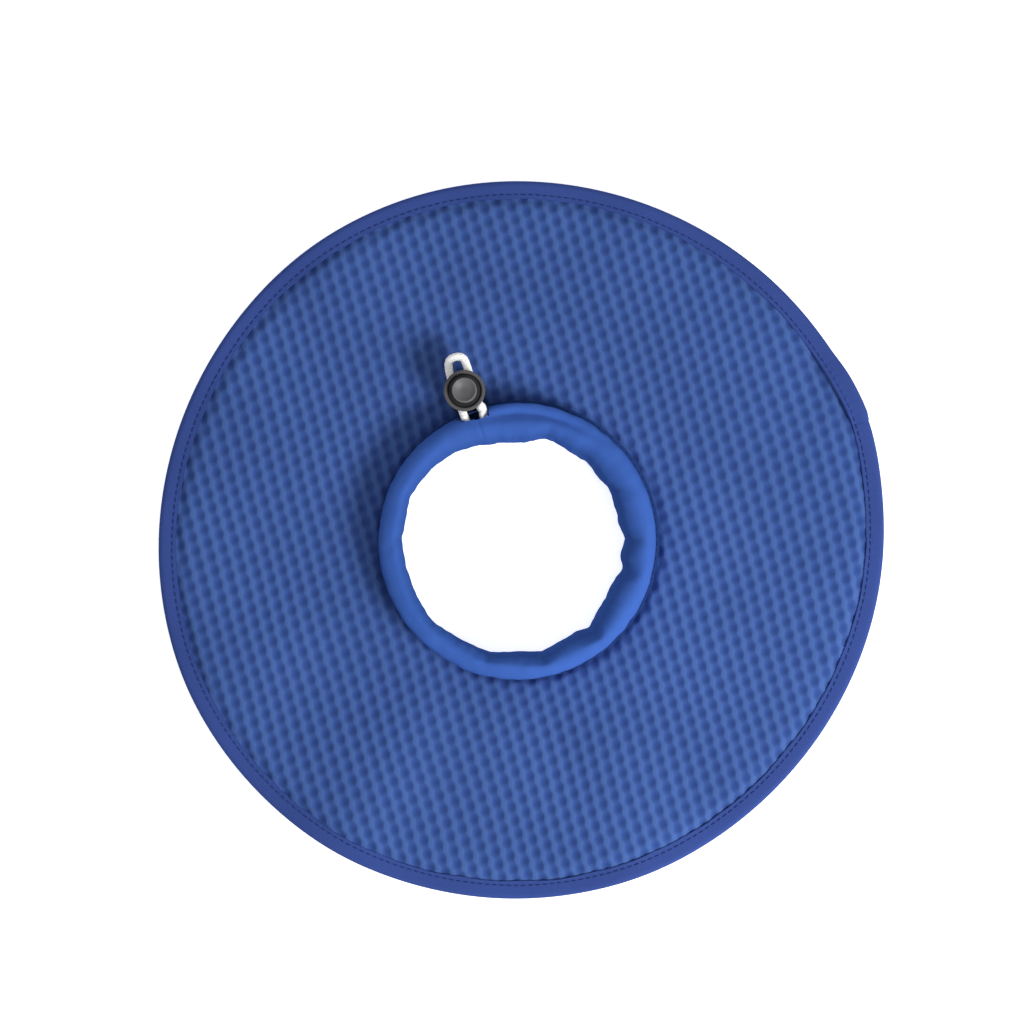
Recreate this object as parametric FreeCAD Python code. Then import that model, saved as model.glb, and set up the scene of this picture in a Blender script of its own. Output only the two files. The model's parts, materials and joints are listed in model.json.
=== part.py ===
"""Soft recovery (Elizabethan) collar: a padded fabric disc with a drawstring neck sleeve.

The collar lies on its back. +Z is up, towards the face that the neck sleeve stands on, and the
origin is on the floor under the centre of the neck opening. All sizes are in millimetres.
"""

import FreeCAD
import Part
import math
import os

from FreeCAD import Vector

# ---------------------------------------------------------------- padded disc
rim_radius = 140.0            # outside of the binding
disc_thickness = 6.0          # outside of one panel to outside of the other
panel_thickness = 1.0
crown_radius = 7.0            # how roundly the seams pull the foam's edges down
foam_clearance = 0.05
seam_gap = 0.5                # from a seam's tape to the foot of the padding

# ---------------------------------------------------------------- rim binding
binding_width = 7.0
binding_thickness = 0.7
lap_start_deg = 19.0          # the tape's last end lies over its first one here
lap_length = 32.0

# ---------------------------------------------------------------- seam threads
thread_radius = 0.25
rim_stitch_inset = 1.6        # from the tape's inner edge
neck_stitch_inset = 0.75       # from the sleeve's outer edge
thread_gap = 0.02

# ---------------------------------------------------------------- neck sleeve
neck_opening_radius = 42.3
sleeve_depth = 10.3           # how wide the sleeve looks from above
sleeve_thickness = 0.6
sleeve_tab_width = 1.5        # each edge of the sleeve, sewn to the disc
sleeve_above_cord = 4.3       # the sleeve's top over the middle of the cord
neck_flange_overlap = 2.6     # how far the panels reach into the sleeve

# ---------------------------------------------------------------- drawcord
cord_diameter = 3.2
cord_exit_deg = 110.4
leg_spacing = 7.0             # between the middles of the cord's two legs
cord_bend_radius = 4.5        # where a leg turns out of the sleeve
loop_reach = 9.9              # middle of the loop's bend, in front of the toggle's middle
cord_end_gap = 0.6            # between the cord's two ends inside the ferrule
ferrule_wall = 0.6
ferrule_length = 9.0
ferrule_clearance = 0.02
sleeve_play = 0.2             # round the ferrule, inside the sleeve

# ---------------------------------------------------------------- the sleeve's opening for the cord
exit_side_room = 1.0          # beside the cord's legs
exit_height_room = 0.7        # over and under them
exit_stitch_width = 0.9
exit_stitch_thickness = 0.35

# ---------------------------------------------------------------- toggle
toggle_tilt_deg = 2.0         # its button leans away from the sleeve
toggle_travel = 6.0           # along the cord, from the sleeve to the end of the loop
toggle_wall = 1.0
toggle_flare = 0.5            # how far the rim stands out
toggle_flare_height = 2.4
toggle_lip = 0.7              # the flared rim's plain edge
toggle_base_round = 3.0
toggle_floor = 1.4
toggle_mouth_chamfer = 0.4
toggle_hole_side_room = 0.35  # beside the cord's legs
toggle_hole_height_room = 0.2
toggle_sleeve_gap = 0.4
toggle_disc_gap = 0.3
plunger_clearance = 0.1
plunger_travel = 3.0
plunger_side_wall = 0.95      # beside the plunger's cord slot
plunger_web = 1.9             # under the slot
plunger_roof = 1.0            # over the slot
plunger_slot_side_room = 0.25
plunger_recess = 0.9          # the plunger's shoulder under the barrel's rim
button_radius = 4.8
button_proud = 3.0            # the button over the rim
button_round = 1.2
cord_grip_gap = 0.1
spring_wire_radius = 0.25
spring_mean_radius = 3.1
spring_turns = 3.0
spring_seat_gap = 0.05
spring_pressed_length = 2.4
post_radius = 1.8
post_height = 1.6

# ---------------------------------------------------------------- worked out from the sizes above
mid_height = disc_thickness / 2
flange_top = mid_height + panel_thickness
flange_bottom = mid_height - panel_thickness
sleeve_outer_radius = neck_opening_radius + sleeve_depth
sleeve_middle_radius = neck_opening_radius + sleeve_depth / 2
sleeve_tab_radius = sleeve_outer_radius + sleeve_tab_width
neck_flange_radius = sleeve_outer_radius - neck_flange_overlap
rim_flange_radius = rim_radius - binding_thickness - panel_thickness
binding_inner_radius = rim_radius - binding_width

crown_run = math.sqrt(crown_radius ** 2 - (crown_radius - disc_thickness + flange_top) ** 2)
crown_start_radius = sleeve_tab_radius + seam_gap + crown_run
crown_end_radius = binding_inner_radius - seam_gap - crown_run

cord_radius = cord_diameter / 2
leg_offset = leg_spacing / 2
ferrule_radius = cord_radius + ferrule_clearance + ferrule_wall
tilt = math.radians(toggle_tilt_deg)

# The plunger is as wide as its cord slot needs, and the barrel is as wide and deep as the plunger
# and its spring need. Heights here are from the middle of the toggle's cord hole.
plunger_slot_half_width = leg_offset + cord_radius + plunger_slot_side_room
plunger_radius = plunger_slot_half_width + plunger_side_wall
plunger_slot_low = -cord_radius - cord_grip_gap
plunger_slot_high = cord_radius + cord_grip_gap + plunger_travel
plunger_bottom = plunger_slot_low - plunger_web
plunger_shoulder = plunger_slot_high + plunger_roof
toggle_bore_radius = plunger_radius + plunger_clearance
toggle_mouth_radius = toggle_bore_radius + toggle_mouth_chamfer
toggle_body_radius = toggle_bore_radius + toggle_wall
toggle_rim_radius = toggle_body_radius + toggle_flare
toggle_rim_height = plunger_shoulder + plunger_recess
toggle_floor_top = plunger_bottom - plunger_travel - spring_pressed_length
toggle_base = toggle_floor_top - toggle_floor
toggle_round_height = toggle_base + toggle_base_round
button_top = toggle_rim_height + button_proud

# The toggle stands on the disc and against the sleeve, so their sizes place it. It slides down
# the tilted cord, so it stands higher by the height that it loses on the way.
toggle_height = (
    disc_thickness + toggle_disc_gap + toggle_travel * math.sin(tilt) + toggle_base_round
    + (toggle_body_radius - toggle_base_round) * math.sin(tilt)
    - toggle_round_height * math.cos(tilt)
)
toggle_radius = (
    sleeve_outer_radius + toggle_sleeve_gap + toggle_body_radius * math.cos(tilt)
    - toggle_round_height * math.sin(tilt)
)

# The cord lies in the sleeve's rolled top and comes out level with the toggle's hole.
sleeve_roll_radius = sleeve_depth / 2
sleeve_roll_room = sleeve_roll_radius - sleeve_thickness - ferrule_radius - sleeve_play
cord_over_roll = sleeve_roll_radius - sleeve_above_cord
cord_ring_radius = sleeve_middle_radius - math.sqrt(sleeve_roll_room ** 2 - cord_over_roll ** 2)
bend_side = leg_offset + cord_bend_radius
bend_radius_out = math.sqrt((cord_ring_radius + cord_bend_radius) ** 2 - bend_side ** 2)
bend_turn_deg = math.degrees(math.atan2(bend_side, bend_radius_out))
leg_knee_radius = sleeve_outer_radius - sleeve_thickness
cord_height = toggle_height + (toggle_radius - leg_knee_radius) * math.tan(tilt)
cord_exit_height = toggle_height + (toggle_radius - sleeve_outer_radius) * math.tan(tilt)
sleeve_top = cord_height + sleeve_above_cord
sleeve_roll_height = sleeve_top - sleeve_roll_radius

origin = Vector(0, 0, 0)
up = Vector(0, 0, 1)


# ================================================================ drawing helpers
def line(a, b):
    return Part.LineSegment(a, b).toShape()


def arc(centre, radius, start_deg, end_deg, point):
    """An arc whose points come from point(first, second), a map from a plane to space."""
    ends = []
    for share in (0.0, 0.5, 1.0):
        angle = math.radians(start_deg + (end_deg - start_deg) * share)
        ends.append(point(centre[0] + radius * math.cos(angle), centre[1] + radius * math.sin(angle)))
    return Part.Arc(*ends).toShape()


def section(r, z):
    """A point of a cross-section: r from the axis and z up."""
    return Vector(r, 0, z)


def outline(points):
    """The runs between a cross-section's corners, in order."""
    corners = [section(r, z) for r, z in points]
    return [line(a, b) for a, b in zip(corners, corners[1:])]


def turned(edges, start_deg=0.0, sweep_deg=360.0):
    """The solid that a closed cross-section sweeps about the collar's axis."""
    face = Part.Face(Part.Wire(Part.__sortEdges__(edges)))
    solid = face.revolve(origin, up, sweep_deg)
    solid.rotate(origin, up, start_deg)
    return solid


def flipped(shape):
    """The same shape on the other side of the disc's middle plane."""
    return shape.mirror(Vector(0, 0, mid_height), up)


def at_exit(shape):
    """Turns a shape drawn along +X to where the cord leaves the sleeve."""
    shape.rotate(origin, up, cord_exit_deg)
    return shape


def in_toggle(shape):
    """Places a shape drawn about the toggle's cord hole: X along the cord, Z to the button."""
    shape.rotate(origin, Vector(0, 1, 0), toggle_tilt_deg)
    shape.translate(Vector(toggle_radius, 0, toggle_height))
    return at_exit(shape)


def rounded_bar(half_width, half_height, corner, length, centre_z=0.0):
    """A bar along X, half_width to each side and half_height up and down, with rounded edges."""
    def across(y, z):
        return Vector(-length / 2, y, centre_z + z)

    flat_y = half_width - corner
    flat_z = half_height - corner
    centres = [(flat_y, flat_z), (-flat_y, flat_z), (-flat_y, -flat_z), (flat_y, -flat_z)]
    corners = [arc(centre, corner, 90 * i, 90 * i + 90, across) for i, centre in enumerate(centres)]
    edges = []
    for one, after in zip(corners, corners[1:] + corners[:1]):
        edges.append(one)
        start = one.valueAt(one.LastParameter)
        end = after.valueAt(after.FirstParameter)
        if start.distanceToPoint(end) > 1e-6:
            edges.append(line(start, end))
    return Part.Face(Part.Wire(edges)).extrude(Vector(length, 0, 0))


def tube(path, radius):
    """A round bar along a wire of tangent runs and arcs."""
    edge = path.Edges[0]
    start = edge.valueAt(edge.FirstParameter)
    ring = Part.Wire(Part.makeCircle(radius, start, edge.tangentAt(edge.FirstParameter)))
    return path.makePipeShell([ring], True, False)


# ================================================================ padded disc
def crown(radius, top, foot, side):
    """The arc by which the padding comes down to a seam. side is -1 at the neck and 1 at the rim."""
    centre_z = disc_thickness - crown_radius
    foot_deg = math.degrees(math.asin((foot - centre_z) / radius))
    centre_r = crown_start_radius if side < 0 else crown_end_radius
    if side < 0:
        return arc((centre_r, centre_z), radius, 180 - foot_deg, 90, section)
    return arc((centre_r, centre_z), radius, 90, foot_deg, section)


def front_panel():
    """The mesh fabric panel of the front face, flat at both seams and crowned over the foam."""
    inside = crown_radius - panel_thickness
    lower = [crown(inside, disc_thickness - panel_thickness, mid_height, side) for side in (-1, 1)]
    upper = [crown(crown_radius, disc_thickness, flange_top, side) for side in (-1, 1)]
    ends = [[e.valueAt(e.FirstParameter), e.valueAt(e.LastParameter)] for e in lower + upper]
    neck_low, rim_low, neck_up, rim_up = ends
    rim_edge = [section(rim_flange_radius, mid_height), section(rim_flange_radius, flange_top)]
    neck_edge = [section(neck_flange_radius, flange_top), section(neck_flange_radius, mid_height)]
    stretches = [
        [rim_low[1]] + rim_edge + [rim_up[1]],
        [rim_up[0], neck_up[1]],
        [neck_up[0]] + neck_edge + [neck_low[0]],
        [neck_low[1], rim_low[0]],
    ]
    runs = [line(a, b) for points in stretches for a, b in zip(points, points[1:])]
    return turned(lower + upper + runs)


def foam_core():
    """The foam ring between the panels, bevelled to its middle plane at both edges."""
    radius = crown_radius - panel_thickness - foam_clearance
    top = disc_thickness - panel_thickness - foam_clearance
    neck = crown(radius, top, mid_height, -1)
    rim = crown(radius, top, mid_height, 1)
    upper = [neck, line(neck.valueAt(neck.LastParameter), rim.valueAt(rim.FirstParameter)), rim]
    lower = [flipped(edge) for edge in upper]
    return turned(upper + lower)


# ================================================================ rim binding
def binding_section(inside, start_deg, sweep_deg):
    """Tape folded over the rim. inside is the half-height of what it closes on."""
    outside = inside + binding_thickness
    fold = (rim_flange_radius, mid_height)
    edges = outline([(binding_inner_radius, mid_height + outside), (fold[0], mid_height + outside)])
    edges.append(arc(fold, outside, 90, -90, section))
    edges += outline([
        (fold[0], mid_height - outside),
        (binding_inner_radius, mid_height - outside),
        (binding_inner_radius, mid_height - inside),
        (fold[0], mid_height - inside),
    ])
    edges.append(arc(fold, inside, -90, 90, section))
    edges += outline([
        (fold[0], mid_height + inside),
        (binding_inner_radius, mid_height + inside),
        (binding_inner_radius, mid_height + outside),
    ])
    return turned(edges, start_deg, sweep_deg)


lap_sweep_deg = math.degrees(lap_length / rim_radius)


def rim_binding():
    """One strip of tape round the rim, its last end lapped over its first."""
    strip = binding_section(panel_thickness, 0.0, 360.0)
    lap = binding_section(panel_thickness + binding_thickness, lap_start_deg, lap_sweep_deg)
    return strip.fuse(lap).removeSplitter()


# ================================================================ seam threads
def thread(radius, height, start_deg=0.0, sweep_deg=360.0):
    """A run of seam thread lying on a surface at that height, and its twin on the back."""
    centre = section(radius, height + thread_radius + thread_gap)
    wire = Part.Wire(Part.makeCircle(thread_radius, centre, Vector(0, 1, 0)))
    run = Part.Face(wire).revolve(origin, up, sweep_deg)
    run.rotate(origin, up, start_deg)
    return [run, flipped(run)]


def rim_seam_thread():
    """Needle and bobbin threads of the rim seam, which climb over the tape's lap."""
    radius = binding_inner_radius + rim_stitch_inset
    tape_top = flange_top + binding_thickness
    step_deg = math.degrees(2 * thread_radius / radius)
    lap_end_deg = lap_start_deg + lap_sweep_deg
    runs = thread(radius, tape_top, lap_end_deg + step_deg, 360 - lap_sweep_deg - 2 * step_deg)
    runs += thread(radius, tape_top + binding_thickness, lap_start_deg, lap_sweep_deg)
    return Part.makeCompound(runs)


def neck_seam_thread():
    """Needle and bobbin threads that sew the sleeve's edges to the disc."""
    radius = sleeve_tab_radius - neck_stitch_inset
    return Part.makeCompound(thread(radius, flange_top + sleeve_thickness))


# ================================================================ neck sleeve
def sleeve_outline(inset, tab_radius):
    """The sleeve's cross-section, inset from its outside: a rolled top, and a foot on each panel."""
    roll = sleeve_roll_radius - inset
    inner = neck_opening_radius + inset
    outer = sleeve_outer_radius - inset
    foot = flange_bottom - sleeve_thickness + inset
    tab = flange_top + sleeve_thickness - inset
    return [
        line(section(tab_radius, foot), section(sleeve_middle_radius, foot)),
        arc((sleeve_middle_radius, foot + roll), roll, 270, 180, section),
        line(section(inner, foot + roll), section(inner, sleeve_roll_height)),
        arc((sleeve_middle_radius, sleeve_roll_height), roll, 180, 0, section),
        line(section(outer, sleeve_roll_height), section(outer, tab)),
        line(section(outer, tab), section(tab_radius, tab)),
        line(section(tab_radius, tab), section(tab_radius, foot)),
    ]


def exit_bar(margin):
    """A bar through the opening for the cord, larger than it all round by margin."""
    half_width = leg_offset + cord_radius + exit_side_room + margin
    half_height = cord_radius + exit_height_room + margin
    bar = rounded_bar(half_width, half_height, half_height, sleeve_depth)
    bar.translate(Vector(sleeve_middle_radius + sleeve_depth / 2, 0, cord_exit_height))
    return at_exit(bar)


def neck_sleeve():
    """A strip of plain fabric, both edges sewn to the disc, that stands up as a hollow channel."""
    strip = turned(sleeve_outline(0.0, sleeve_tab_radius))
    cavity = turned(sleeve_outline(sleeve_thickness, sleeve_tab_radius + sleeve_tab_width))
    return strip.cut(cavity).cut(exit_bar(0.0))


def cord_exit_stitching():
    """The stitches that finish the edge of the opening where the cord leaves the sleeve."""
    edge = exit_bar(exit_stitch_width).cut(exit_bar(0.0))
    thick = turned(sleeve_outline(-exit_stitch_thickness - thread_gap, sleeve_tab_radius))
    skin = thick.cut(turned(sleeve_outline(-thread_gap, sleeve_tab_radius + sleeve_tab_width)))
    return edge.common(skin)


# ================================================================ drawcord
def level(x, y):
    """A point of the level plane that the cord lies in inside the sleeve."""
    return Vector(x, y, cord_height)


def tilted(x, y):
    """A point of the leaning plane that the cord lies in outside it, from the toggle's middle."""
    return Vector(toggle_radius + x * math.cos(tilt), y, toggle_height - x * math.sin(tilt))


def knee(before, corner, after):
    """The arc between two runs that meet at a corner, as large as the shorter run allows."""
    run_in = corner.sub(before)
    run_out = after.sub(corner)
    half_turn = run_in.getAngle(run_out) / 2
    cut_back = 0.45 * min(run_in.Length, run_out.Length)
    radius = cut_back / math.tan(half_turn)
    start = corner.sub(run_in * (cut_back / run_in.Length))
    end = corner.add(run_out * (cut_back / run_out.Length))
    chord_middle = (start + end) * 0.5
    towards_corner = corner.sub(chord_middle)
    rise = radius * (1 - math.cos(half_turn))
    middle = chord_middle.add(towards_corner * (rise / towards_corner.Length))
    print("cord knee radius", round(radius, 1))
    return start, Part.Arc(start, middle, end).toShape(), end


def leg_path(side):
    """One leg's edges, from the level ring to the loop. side is 1 or -1."""
    bend_start = level(bend_radius_out, side * leg_offset)
    corner = level(leg_knee_radius, side * leg_offset)
    loop_start = tilted(loop_reach, side * leg_offset)
    knee_start, knee_arc, knee_end = knee(bend_start, corner, loop_start)
    turn = side * bend_turn_deg
    return [
        arc((bend_radius_out, side * bend_side), cord_bend_radius, side * 180 + turn, side * 270, level),
        line(bend_start, knee_start),
        knee_arc,
        line(knee_end, loop_start),
    ]


def drawcord():
    """One elastic cord: round inside the sleeve, out through the toggle, and back in a loop."""
    end_deg = 180 - math.degrees(cord_end_gap / 2 / cord_ring_radius)
    ring_left = arc((0, 0), cord_ring_radius, end_deg, bend_turn_deg, level)
    ring_right = arc((0, 0), cord_ring_radius, -end_deg, -bend_turn_deg, level)
    loop = arc((loop_reach, 0), leg_offset, 90, -90, tilted)
    edges = [ring_left] + leg_path(1) + [loop] + leg_path(-1) + [ring_right]
    path = Part.Wire(Part.__sortEdges__(edges))
    cord = tube(path, cord_radius)
    expected = math.pi * cord_radius ** 2 * path.Length
    print("cord length", round(path.Length, 1), "bend radii", cord_bend_radius, leg_offset)
    print("cord volume over its section times its length", round(cord.Volume / expected, 4))
    return at_exit(cord)


def cord_join_ferrule():
    """The crimped ferrule that joins the cord's two ends, opposite the opening."""
    centre = level(cord_ring_radius, 0)
    outer = Part.Face(Part.Wire(Part.makeCircle(ferrule_radius, centre, Vector(0, 1, 0))))
    inner = Part.Face(Part.Wire(Part.makeCircle(cord_radius + ferrule_clearance, centre, Vector(0, 1, 0))))
    sweep_deg = math.degrees(ferrule_length / cord_ring_radius)
    ferrule = outer.cut(inner).Faces[0].revolve(origin, up, sweep_deg)
    ferrule.rotate(origin, up, 180 - sweep_deg / 2)
    return at_exit(ferrule)


# ================================================================ toggle
def toggle_barrel():
    """The toggle's case: a blind bore, a flared rim, and the cord hole across it."""
    flare_foot = toggle_rim_height - toggle_lip - toggle_flare_height
    flare_radius = (toggle_flare_height ** 2 + toggle_flare ** 2) / (2 * toggle_flare)
    flare_deg = math.degrees(math.asin(toggle_flare_height / flare_radius))
    round_centre = (toggle_body_radius - toggle_base_round, toggle_round_height)
    edges = outline([(0, toggle_base), (round_centre[0], toggle_base)])
    edges.append(arc(round_centre, toggle_base_round, -90, 0, section))
    edges += outline([(toggle_body_radius, toggle_round_height), (toggle_body_radius, flare_foot)])
    flare_centre = (toggle_body_radius + flare_radius, flare_foot)
    edges.append(arc(flare_centre, flare_radius, 180, 180 - flare_deg, section))
    edges += outline([
        (toggle_rim_radius, toggle_rim_height - toggle_lip),
        (toggle_rim_radius, toggle_rim_height),
        (toggle_mouth_radius, toggle_rim_height),
        (toggle_bore_radius, toggle_rim_height - toggle_mouth_chamfer),
        (toggle_bore_radius, toggle_floor_top),
        (post_radius, toggle_floor_top),
        (post_radius, toggle_floor_top + post_height),
        (0, toggle_floor_top + post_height),
        (0, toggle_base),
    ])
    half_width = leg_offset + cord_radius + toggle_hole_side_room
    half_height = cord_radius + toggle_hole_height_room
    hole = rounded_bar(half_width, half_height, half_height, 4 * toggle_rim_radius)
    return in_toggle(turned(edges).cut(hole))


def toggle_plunger():
    """The button on its wider stem, with a slot for the cord as long as its travel."""
    stem = Part.makeCylinder(plunger_radius, plunger_shoulder - plunger_bottom, Vector(0, 0, plunger_bottom))
    button = Part.makeCylinder(button_radius, button_top - plunger_shoulder, Vector(0, 0, plunger_shoulder))
    rim = [e for e in button.Edges if len(e.Vertexes) == 1 and abs(e.Vertexes[0].Z - button_top) < 0.01]
    button = button.makeFillet(button_round, rim)
    half_height = (plunger_slot_high - plunger_slot_low) / 2
    corner = cord_radius + cord_grip_gap
    middle = plunger_slot_low + half_height
    slot = rounded_bar(plunger_slot_half_width, half_height, corner, 4 * plunger_radius, middle)
    return in_toggle(stem.fuse(button).cut(slot).removeSplitter())


def toggle_spring():
    """The compression spring that pushes the button out and so grips the cord."""
    length = plunger_bottom - toggle_floor_top - 2 * (spring_wire_radius + spring_seat_gap)
    helix = Part.makeHelix(length / spring_turns, length, spring_mean_radius)
    wire = Part.Wire(helix.Edges)
    start = wire.Edges[0].valueAt(wire.Edges[0].FirstParameter)
    tangent = wire.Edges[0].tangentAt(wire.Edges[0].FirstParameter)
    ring = Part.Wire(Part.makeCircle(spring_wire_radius, start, tangent))
    spring = wire.makePipeShell([ring], True, True)
    spring.translate(Vector(0, 0, toggle_floor_top + spring_wire_radius + spring_seat_gap))
    return in_toggle(spring)


# ================================================================ all the pieces
pieces = {
    "front_panel": front_panel(),
    "back_panel": flipped(front_panel()),
    "foam_core": foam_core(),
    "rim_binding": rim_binding(),
    "rim_seam_thread": rim_seam_thread(),
    "neck_sleeve": neck_sleeve(),
    "neck_seam_thread": neck_seam_thread(),
    "cord_exit_stitching": cord_exit_stitching(),
    "drawcord": drawcord(),
    "cord_join_ferrule": cord_join_ferrule(),
    "toggle_barrel": toggle_barrel(),
    "toggle_plunger": toggle_plunger(),
    "toggle_spring": toggle_spring(),
}

os.makedirs("parts", exist_ok=True)
for name, shape in pieces.items():
    assert shape.isValid(), name + " is not a valid solid"
    shape.exportStep("parts/" + name + ".step")
    box = shape.BoundBox
    print(name, len(shape.Solids), "solids", round(shape.Volume, 1), "mm3",
          [round(v, 2) for v in (box.XMin, box.XMax, box.YMin, box.YMax, box.ZMin, box.ZMax)])
print("toggle middle", round(toggle_radius, 3), round(toggle_height, 3), "cord height", round(cord_height, 3),
      "sleeve top", round(sleeve_top, 3), "inner wall",
      round(flange_bottom - sleeve_thickness + sleeve_roll_radius, 3), round(sleeve_roll_height, 3))
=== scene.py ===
import json
from math import asin, atan2, ceil, cos, degrees, dist, exp, hypot, pi, radians, sin, sqrt, tan

import bmesh
import bpy
from mathutils import Matrix, Vector, noise


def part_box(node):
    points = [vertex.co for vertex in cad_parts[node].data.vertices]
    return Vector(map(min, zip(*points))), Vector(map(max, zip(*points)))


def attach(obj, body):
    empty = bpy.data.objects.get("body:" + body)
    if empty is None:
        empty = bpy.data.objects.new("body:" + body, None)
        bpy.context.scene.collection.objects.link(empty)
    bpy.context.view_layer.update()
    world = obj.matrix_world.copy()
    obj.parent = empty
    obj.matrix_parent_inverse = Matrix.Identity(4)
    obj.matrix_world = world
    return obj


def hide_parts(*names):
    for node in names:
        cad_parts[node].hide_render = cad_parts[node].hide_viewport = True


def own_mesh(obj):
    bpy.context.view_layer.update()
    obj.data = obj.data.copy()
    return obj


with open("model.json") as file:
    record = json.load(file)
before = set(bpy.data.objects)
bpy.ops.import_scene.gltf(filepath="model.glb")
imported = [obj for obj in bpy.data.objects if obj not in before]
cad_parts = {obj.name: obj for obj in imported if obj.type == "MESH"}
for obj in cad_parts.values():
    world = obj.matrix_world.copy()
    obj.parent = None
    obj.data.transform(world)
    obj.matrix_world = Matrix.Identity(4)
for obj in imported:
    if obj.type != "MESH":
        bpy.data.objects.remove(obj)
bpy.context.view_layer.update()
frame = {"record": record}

# A soft recovery collar: padded net disc, bound rim, gathered neck sleeve, elastic drawcord and cord lock.
# Everything is in metres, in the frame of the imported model: +Z up, the collar lying on its back.

mm = 0.001
scene = bpy.context.scene
scene.view_settings.view_transform = "Standard"
noise.seed_set(7)  # noise_vector takes its offsets from this seed, and from the clock without it


def smooth(low, high, x):
    t = min(max((x - low) / (high - low), 0.0), 1.0)
    return t * t * (3 - 2 * t)


def turnGap(a, b):
    # how far apart two directions are, in degrees, from -180 to 180
    return (a - b + 180) % 360 - 180


def hump(angle, middle, halfWidth):
    return exp(-((turnGap(angle, middle) / halfWidth) ** 2))


def cusp(angle, middle, halfWidth):
    return max(0.0, 1 - hypot(turnGap(angle, middle), 1.3) / halfWidth) ** 2


# sizes and directions that the frame gives
record = frame["record"]
jointOf = {joint["name"]: joint for joint in record["behaviour"]["joints"]}
tapeFold = 1.7 * mm  # the panels end this far inside the rim, where the tape folds round them
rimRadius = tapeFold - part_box("back_panel")[0].x
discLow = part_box("back_panel")[0].z
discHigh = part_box("front_panel")[1].z
discMiddle = (discLow + discHigh) / 2
sleeveLow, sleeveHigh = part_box("neck_sleeve")[0].z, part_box("neck_sleeve")[1].z
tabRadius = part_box("neck_sleeve")[1].x
neckRadius = record["mounts"][0]["dims"]["r_mm"] * mm
slideAxis = Vector(jointOf["toggle_slide"]["axis"]).normalized()
buttonAxis = -Vector(jointOf["button_press"]["axis"]).normalized()
exitAngle = atan2(slideAxis.y, slideAxis.x)
buttonTop = 9.6 * mm  # the button's round top over the middle of the cord hole


def axesMatrix(x, y, z, middle):
    return Matrix.Translation(middle) @ Matrix((x, y, z)).transposed().to_4x4()


def findToggleMiddle():
    # the middle of the cord hole, from the button's round top
    points = [vert.co for vert in bpy.data.objects["toggle_plunger"].data.vertices]
    top = max(point.dot(buttonAxis) for point in points)
    ring = [point for point in points if point.dot(buttonAxis) > top - 0.02 * mm]
    middle = (top - buttonTop) * buttonAxis
    for axis in (slideAxis, buttonAxis.cross(slideAxis)):
        reach = [point.dot(axis) for point in ring]
        middle += (min(reach) + max(reach)) / 2 * axis
    return middle


toggleMiddle = findToggleMiddle()
toggleFrame = axesMatrix(slideAxis, buttonAxis.cross(slideAxis), buttonAxis, toggleMiddle)
exitFrame = Matrix.Rotation(exitAngle, 4, "Z")
print("toggle middle", [round(value / mm, 3) for value in toggleMiddle])

view = {
    "middle": (-3.1 * mm, 10.8 * mm),  # what the camera looks straight down on
    "height": 1.1,
    "width": 397.7 * mm,  # of floor, from side to side of the picture
    "sensor": 36.0,
}


def makeCamera():
    data = bpy.data.cameras.new("camera")
    data.sensor_width = view["sensor"]
    data.lens = view["sensor"] * (view["height"] - discMiddle) / view["width"]
    data.clip_start = 0.01
    camera = bpy.data.objects.new("camera", data)
    camera.location = (*view["middle"], view["height"])
    scene.collection.objects.link(camera)
    scene.camera = camera


lights = {
    # name: where it stands, how wide it is, watts
    "key": ((0.75, -0.57, 0.8), 0.5, 14.9),
    "fill": ((-0.9, 0.8, 1.3), 0.9, 1.5),
    "top": ((0.1, 0.1, 1.9), 1.2, 4.4),
}
skyStrength = 0.36
floorSize = {"width": 6.0, "drop": 0.0002, "glow": 0.68}


def makeLights():
    for name, (place, width, watts) in lights.items():
        data = bpy.data.lights.new(name, "AREA")
        data.shape = "DISK"
        data.size = width
        data.energy = watts
        lamp = bpy.data.objects.new(name, data)
        lamp.location = place
        lamp.rotation_euler = Vector(place).to_track_quat("Z", "Y").to_euler()
        scene.collection.objects.link(lamp)
    world = bpy.data.worlds.new("studio")
    world.use_nodes = True
    world.node_tree.nodes["Background"].inputs["Color"].default_value = (1, 1, 1, 1)
    world.node_tree.nodes["Background"].inputs["Strength"].default_value = skyStrength
    scene.world = world


makeCamera()
makeLights()
print("camera and lights made")


def addNode(tree, kind, **values):
    node = tree.nodes.new(kind)
    for name, value in values.items():
        setattr(node, name, value)
    return node


def wire(tree, value, socket):
    # a link from another socket, or a plain value
    if isinstance(value, bpy.types.NodeSocket):
        tree.links.new(value, socket)
    else:
        socket.default_value = value


def calc(tree, operation, a, b=0.0, c=0.0, clamp=False):
    node = addNode(tree, "ShaderNodeMath", operation=operation, use_clamp=clamp)
    for value, socket in zip((a, b, c), node.inputs):
        wire(tree, value, socket)
    return node.outputs[0]


def ramp(tree, value, low, high, outLow=0.0, outHigh=1.0):
    node = addNode(tree, "ShaderNodeMapRange", interpolation_type="SMOOTHSTEP")
    for item, name in zip((value, low, high, outLow, outHigh),
                          ("Value", "From Min", "From Max", "To Min", "To Max")):
        wire(tree, item, node.inputs[name])
    return node.outputs[0]


def mixColour(tree, factor, a, b, blend="MIX"):
    node = addNode(tree, "ShaderNodeMix", data_type="RGBA", blend_type=blend)
    wire(tree, factor, node.inputs[0])
    wire(tree, a, node.inputs[6])
    wire(tree, b, node.inputs[7])
    return node.outputs[2]


def axesOf(tree, vector):
    node = addNode(tree, "ShaderNodeSeparateXYZ")
    wire(tree, vector, node.inputs[0])
    return node.outputs


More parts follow.
